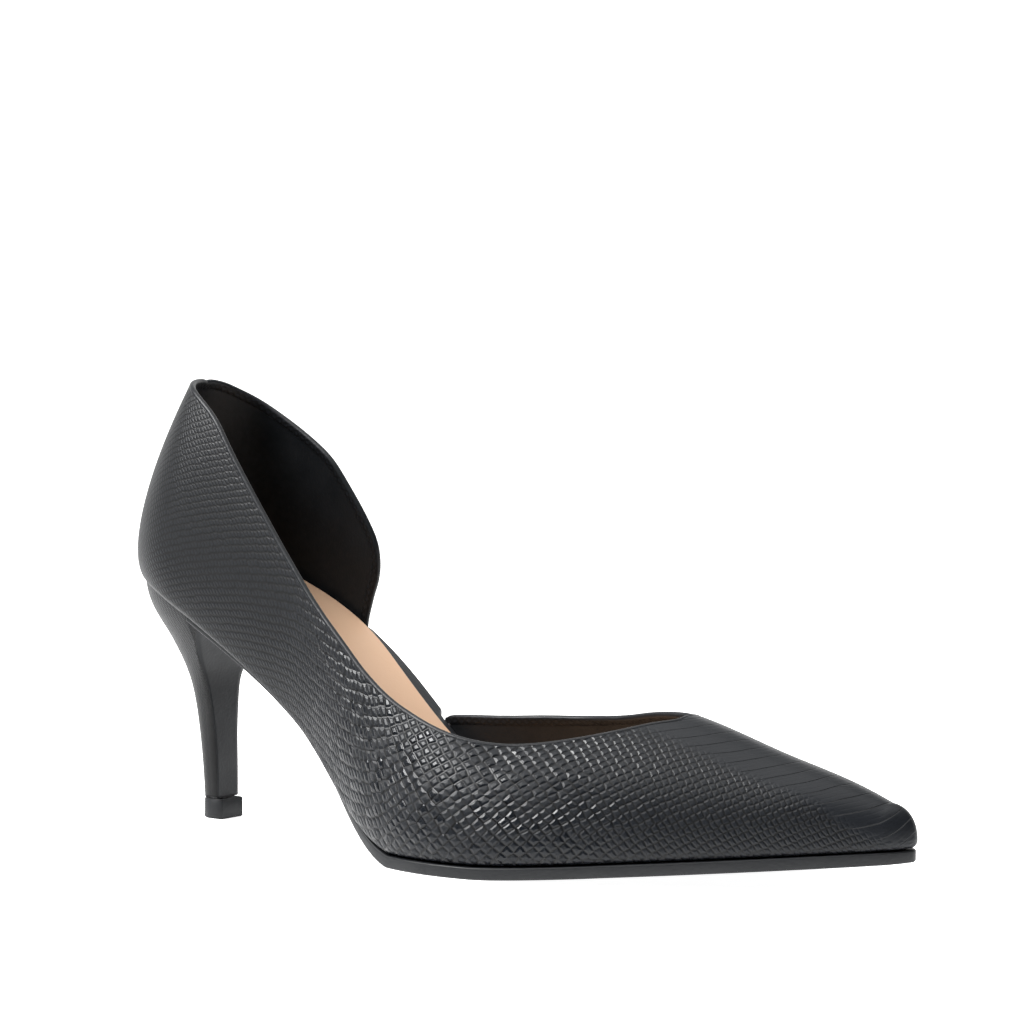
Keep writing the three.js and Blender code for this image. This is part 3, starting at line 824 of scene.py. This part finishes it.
def fold_profile():
    """Section of the folded edge: down into the leather, and out of it."""
    turn = np.linspace(math.pi / 2, -math.pi / 2, FOLD_TURNS + 1)
    middle = -UPPER_WALL / 2
    rise = UPPER_WALL / 2 + FOLD_PROUD
    top = 0.1
    arc = np.stack([top - (FOLD_TOP + top) * np.cos(turn), middle + rise * np.sin(turn)], -1)
    outside = np.array([(FOLD_OUTSIDE, -0.25), (FOLD_OUTSIDE, 0.03), (FOLD_OUTSIDE - 0.1, 0.1)])
    low = -UPPER_WALL
    inside = np.array([(1.1, -FOLD_PROUD), (FOLD_INSIDE - 0.2, -FOLD_PROUD), (FOLD_INSIDE, 0), (FOLD_INSIDE, 0.3)])
    return np.vstack([outside, arc, inside + [0, low]])


def make_fold(points, normals, border):
    line, square, at = opening_path(points, normals, border)
    ahead = unit(np.gradient(line, axis=0))
    down = unit(np.cross(square, ahead))
    profile = fold_profile()
    rings = line[:, None] + profile[None, :, :1] * down[:, None] + profile[None, :, 1:] * square[:, None]
    rows, cols = rings.shape[:2]
    made = np.vstack([rings.reshape(-1, 3), rings[0].mean(0), rings[-1].mean(0)])
    ring = np.arange(cols)
    base = rows * cols
    low = np.stack([np.roll(ring, -1), ring, np.full(cols, base)], -1)
    high = np.stack([base - cols + ring, base - cols + np.roll(ring, -1), np.full(cols, base + 1)], -1)
    triangles = np.vstack([grid_triangles(rows, cols, closed=True), low, high])
    across = np.concatenate([[0], np.cumsum(np.linalg.norm(np.diff(profile, axis=0), axis=1))])
    cells = np.stack(np.broadcast_arrays(at[:, None], across[None, :]), -1).reshape(-1, 2) / STRIP_SCALE
    cells = np.vstack([cells, cells[:2]])
    strip = (triangles % cols >= 3 + FOLD_TURNS - 1).all(1) & (triangles < base).all(1)
    layers = {"cells": cells[triangles].reshape(-1, 2), "skin": np.zeros((3 * len(triangles), 2))}
    piece = add_mesh("folded_edge", made, triangles, [edge_leather, strip_leather], strip.astype(int), layers)
    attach(piece, "root")


STRIP_SCALE = 1.7
make_fold(*make_upper())


# Plates: insole board, sock and outsole.
def plate(name, material, start, inset_outer, inset_inner, low, high, corner, across=16, puff=None):
    """A plate along the bottom between two lifts, with rounded edges."""
    s = np.concatenate([[start], HALF_OUTLINE[HALF_OUTLINE > start]]) if start > 0 else HALF_OUTLINE
    at = station(s)
    turns = np.linspace(0, math.pi / 2, 5)
    thickness = high(at) - low(at)
    radius = np.minimum(corner, thickness / 2.01)[:, None]
    inset_k = np.concatenate([1 - np.sin(turns), 1 - np.cos(turns)])[None, :]
    lift_low = low(at)[:, None] + radius * (1 - np.cos(turns))[None, :]
    lift_high = high(at)[:, None] - radius * (1 - np.sin(turns))[None, :]
    lift = np.concatenate([lift_low, lift_high], axis=1)
    shape = (len(s), lift.shape[1])
    wide = np.broadcast_to(s[:, None], shape)
    outer = inset_edge(wide, -1, inset_outer(at)[:, None] + radius * inset_k, lift)
    inner = inset_edge(wide, 1, inset_inner(at)[:, None] + radius * inset_k, lift)
    ends = (s <= 0) | (s >= 3)
    inner = np.where(ends[:, None, None], outer, inner)
    share = np.linspace(0, 1, across + 1)[1:-1][None, :, None]

    def fill(a, b, level):
        made = lerp(a[:, None, :], b[:, None, :], share)
        lifted = bottom_height(made[..., 0], made[..., 1]) + level[:, None] * steepness(made[..., 0])
        if puff is not None:
            lifted = lifted + puff(made, share[..., 0])
        return stack(made[..., 0], made[..., 1], lifted)

    top = fill(outer[:, -1], inner[:, -1], high(at))
    under = fill(inner[:, 0], outer[:, 0], low(at))
    rings = np.concatenate([outer, top, inner[:, ::-1], under], axis=1)
    rows, cols = rings.shape[:2]
    points = rings.reshape(-1, 3)
    triangles = grid_triangles(rows, cols, closed=True)
    if start > 0:
        middle = len(points)
        points = np.vstack([points, rings[0].mean(0)])
        ring = np.arange(cols)
        cap = np.stack([ring, np.roll(ring, -1), np.full(cols, middle)], -1)
        triangles = np.vstack([triangles, cap])
    flat = points[:, :2].copy()
    points, triangles, corners = weld(points, triangles)
    return add_mesh(name, points, triangles, [material], layers={"skin": flat[corners].reshape(-1, 2) / 100})


BOARD_INSET = UPPER_WALL + SEAM


def make_board():
    def inner(at):
        edges = smoothstep(GAP_BACK, GAP_BACK + 0.006, at) * smoothstep(GAP_FRONT, GAP_FRONT - 0.006, at)
        return BOARD_INSET * (1 - edges)

    low = UPPER_WALL + SEAM
    piece = plate(
        "insole_board_wrap",
        band_leather_painted_light,
        0,
        lambda at: BOARD_INSET + 0 * at,
        inner,
        lambda at: low + 0 * at,
        lambda at: low + BOARD_THICKNESS + 0 * at,
        0.9,
    )
    return settle(piece, "insole_board")


def make_sock():
    low = UPPER_WALL + BOARD_THICKNESS + 2 * SEAM
    piece = plate(
        "sock_lining",
        sock_leather,
        0,
        lambda at: BOARD_INSET + SOCK_REVEAL * rim["sock_outer"](at),
        lambda at: BOARD_INSET + SOCK_REVEAL * rim["sock_inner"](at),
        lambda at: low + 0 * at,
        lambda at: low + SOCK_THICKNESS + 0 * at,
        0.45,
    )
    return settle(piece, "sock")


def make_outsole():
    def low(at):
        return -SEAM - lerp(WAIST_THICKNESS, TREAD_THICKNESS, smoothstep(THICKEN_START, THICKEN_END, at))

    piece = plate(
        "outsole_rubber",
        sole_rubber,
        station_at(SOLE_START),
        lambda at: SOLE_INSET * rim["sole_outer"](at),
        lambda at: SOLE_INSET * rim["sole_inner"](at),
        low,
        lambda at: -SEAM + 0 * at,
        0.5,
    )
    return settle(piece, "outsole")


make_board()
make_sock()
make_outsole()


# Heel and top piece.
BREAST_STEPS = 12
ROUND_STEPS = 40
HEEL_STEPS = 90


def heel_outline(back, front, half):
    """A level of the heel in plan, anticlockwise from the breast's outer corner: breast, then the round."""
    back, front, half = (np.asarray(value, float)[..., None] for value in (back, front, half))
    reach = np.minimum(1.1 * half, 0.95 * (back + front))
    turn = np.linspace(math.pi / 2, -math.pi / 2, ROUND_STEPS + 1)[None, :]
    x_round = reach - back - reach * np.cos(turn)
    y_round = half * np.sin(turn)
    y_flat = half * np.linspace(-1, 1, BREAST_STEPS + 1)[None, :]
    x_flat = np.broadcast_to(front, y_flat.shape)
    return np.concatenate([x_flat, x_round], 1), np.concatenate([y_flat, y_round], 1)


def make_heel():
    tip = TOP_PIECE_HEIGHT + SEAM
    share = np.linspace(0, 1, HEEL_STEPS + 1)
    count = BREAST_STEPS + ROUND_STEPS + 2
    top = np.full(count, SEAT_HEIGHT, float)

    def outline(level):
        level = np.clip(level, 0, 1)
        x, y = heel_outline(
            BACK_OVERHANG * heel_shape["back"](level),
            BACK_OVERHANG * heel_shape["front"](level),
            BALL_WIDTH * heel_shape["half"](level),
        )
        return x, y

    def seat(x, y):
        sole = (x > place(SOLE_START) - SEAM) * (WAIST_THICKNESS + SEAM)
        return bottom_height(x, y) - (SEAM + sole) * steepness(x)

    pick = np.arange(count)
    for _ in range(40):
        x, y = outline((top - tip) / (SEAT_HEIGHT - tip))
        top = lerp(top, seat(x[pick, pick], y[pick, pick]), 0.5)
    height = lerp(tip, top[None, :], share[:, None])
    rows, cols = height.shape
    x = np.zeros_like(height)
    y = np.zeros_like(height)
    for i in range(rows):
        x_level, y_level = outline((height[i] - tip) / (SEAT_HEIGHT - tip))
        x[i] = x_level[pick, pick]
        y[i] = y_level[pick, pick]
    rings = stack(x, y, height)
    points = rings.reshape(-1, 3)
    triangles = grid_triangles(rows, cols, closed=True)
    ring = np.arange(cols)
    base = len(points)
    points = np.vstack([points, rings[0].mean(0), rings[-1].mean(0)])
    points[-1, 2] = seat(points[-1, 0], points[-1, 1])
    cap_low = np.stack([np.roll(ring, -1), ring, np.full(cols, base)], -1)
    last = (rows - 1) * cols
    cap_high = np.stack([last + ring, last + np.roll(ring, -1), np.full(cols, base + 1)], -1)
    triangles = np.vstack([triangles, cap_low, cap_high])[:, ::-1]
    run = np.concatenate([np.zeros((rows, 1)), np.cumsum(np.linalg.norm(np.diff(rings, axis=1), axis=-1), axis=1)], axis=1)
    cells = np.stack([(run - run[:, -1:] / 2) / 1.5, height / 1.5], -1).reshape(-1, 2)
    cells = np.vstack([cells, cells[:2]])
    welded, triangles, corners = weld(points, triangles)
    on_breast = (corners % cols <= BREAST_STEPS).all(1)
    layers = {"cells": cells[corners].reshape(-1, 2), "skin": 0 * cells[corners].reshape(-1, 2)}
    piece = add_mesh("heel_cover", welded, triangles, [heel_skin, edge_leather], on_breast.astype(int), layers)
    return settle(piece, "heel")


def make_top_piece():
    half = TOP_PIECE_WIDTH / 2
    reach = TOP_PIECE_LENGTH / 2
    cut = 0.35
    levels = np.array([(0, cut), (cut, 0), (TOP_PIECE_HEIGHT - cut, 0), (TOP_PIECE_HEIGHT, cut)])
    x, y = heel_outline(reach - levels[:, 1], reach - levels[:, 1], half - levels[:, 1])
    rings = stack(x, y, levels[:, :1])
    rows, cols = rings.shape[:2]
    points = np.vstack([rings.reshape(-1, 3), rings[0].mean(0), rings[-1].mean(0)])
    ring = np.arange(cols)
    base = rows * cols
    low = np.stack([np.roll(ring, -1), ring, np.full(cols, base)], -1)
    high = np.stack([base - cols + ring, base - cols + np.roll(ring, -1), np.full(cols, base + 1)], -1)
    triangles = np.vstack([grid_triangles(rows, cols, closed=True), low, high])[:, ::-1]
    points, triangles, _ = weld(points, triangles)
    piece = add_mesh("top_piece_rubber", points, triangles, [tip_rubber])
    return settle(piece, "top_piece")


make_heel()
make_top_piece()


# Camera, floor and light.
CAMERA_PLACE = (467.65, -551.95, 106.48)
CAMERA_TURN = (0.58305, 0.019369, 0.012675)  # to the left, down and rolled, in radians
CAMERA_LENS = 84.3


def make_camera():
    yaw, pitch, roll = CAMERA_TURN
    ahead = Vector((-math.sin(yaw) * math.cos(pitch), math.cos(yaw) * math.cos(pitch), -math.sin(pitch)))
    right = Vector((math.cos(yaw), math.sin(yaw), 0))
    up = right.cross(ahead)
    across = right * math.cos(roll) + up * math.sin(roll)
    upward = up * math.cos(roll) - right * math.sin(roll)
    data = bpy.data.cameras.new("camera")
    data.lens = CAMERA_LENS
    data.sensor_width = 36
    data.clip_start = 0.01
    camera = bpy.data.objects.new("camera", data)
    turn = Matrix((across, upward, -ahead)).transposed().to_4x4()
    camera.matrix_world = Matrix.Translation(Vector(CAMERA_PLACE) * MM) @ turn
    bpy.context.scene.collection.objects.link(camera)
    bpy.context.scene.camera = camera


def make_light(name, place, aim, size, power):
    data = bpy.data.lights.new(name, "AREA")
    data.shape = "RECTANGLE"
    data.size, data.size_y = (s * MM for s in size)
    data.energy = power
    lamp = bpy.data.objects.new(name, data)
    lamp.location = Vector(place) * MM
    lamp.rotation_mode = "QUATERNION"
    lamp.rotation_quaternion = (Vector(aim) - Vector(place)).to_track_quat("-Z", "Y")
    bpy.context.scene.collection.objects.link(lamp)


FLOOR_FRONT = 320
FLOOR_BACK = 1800
SWEEP_RADIUS = 1000
FLOOR_SIDE = 3000


def make_floor():
    """A pale floor that sweeps up into a backdrop behind the shoe, square to the camera."""
    turn = np.linspace(0, math.pi / 2, 24)
    back = np.concatenate([[-FLOOR_FRONT], FLOOR_BACK + SWEEP_RADIUS * np.sin(turn), [FLOOR_BACK + SWEEP_RADIUS]])
    height = np.concatenate([[0], SWEEP_RADIUS * (1 - np.cos(turn)), [2 * SWEEP_RADIUS]])
    yaw = CAMERA_TURN[0]
    behind = np.array([-math.sin(yaw), math.cos(yaw)])
    beside = np.array([math.cos(yaw), math.sin(yaw)])
    flat = [back[:, None] * behind + side * FLOOR_SIDE * beside for side in (-1, 1)]
    points = np.concatenate([np.column_stack([half, height]) for half in flat])
    count = len(back)
    faces = [(i, count + i, count + i + 1, i + 1) for i in range(count - 1)]
    mesh = bpy.data.meshes.new("floor")
    mesh.from_pydata((points * MM).tolist(), [], faces)
    mesh.shade_smooth()
    floor = bpy.data.objects.new("floor", mesh)
    material, _, _ = new_material(
        "floor_paper", (0.92, 0.92, 0.92), Roughness=0.95, Emission_Color=(1, 1, 1, 1), Emission_Strength=0.95
    )
    mesh.materials.append(material)
    bpy.context.scene.collection.objects.link(floor)


WORLD_LIGHT = 0.7
WORLD_SHADE = 0.05


def make_world():
    """A white studio that is darker at eye height in front of the shoe."""
    world = bpy.data.worlds.new("studio")
    bpy.context.scene.world = world
    world.use_nodes = True
    tree = world.node_tree
    way = add_node(tree, "TexCoord").outputs["Generated"]
    yaw = CAMERA_TURN[0]
    front = (math.sin(yaw), -math.cos(yaw), 0)
    facing = add_node(tree, "VectorMath", {0: way, 1: front}, operation="DOT_PRODUCT").outputs["Value"]
    height = add_node(tree, "SeparateXYZ", {0: way}).outputs["Z"]
    dark = maths(tree, "MULTIPLY", ramp(tree, facing, -0.75, 0.1), ramp(tree, height, 0.98, 0.6))
    strength = maths(tree, "SUBTRACT", WORLD_LIGHT, maths(tree, "MULTIPLY", dark, WORLD_LIGHT - WORLD_SHADE))
    tree.links.new(strength, tree.nodes["Background"].inputs["Strength"])
    tree.nodes["Background"].inputs["Color"].default_value = (1, 1, 1, 1)


make_camera()
make_floor()
make_world()
make_light("overhead", (150, 0, 1000), (100, 0, 40), (900, 900), 3.5)
make_light("front_left", (-380, -560, 880), (80, 0, 30), (480, 480), 21)
bpy.context.scene.view_settings.view_transform = "Standard"
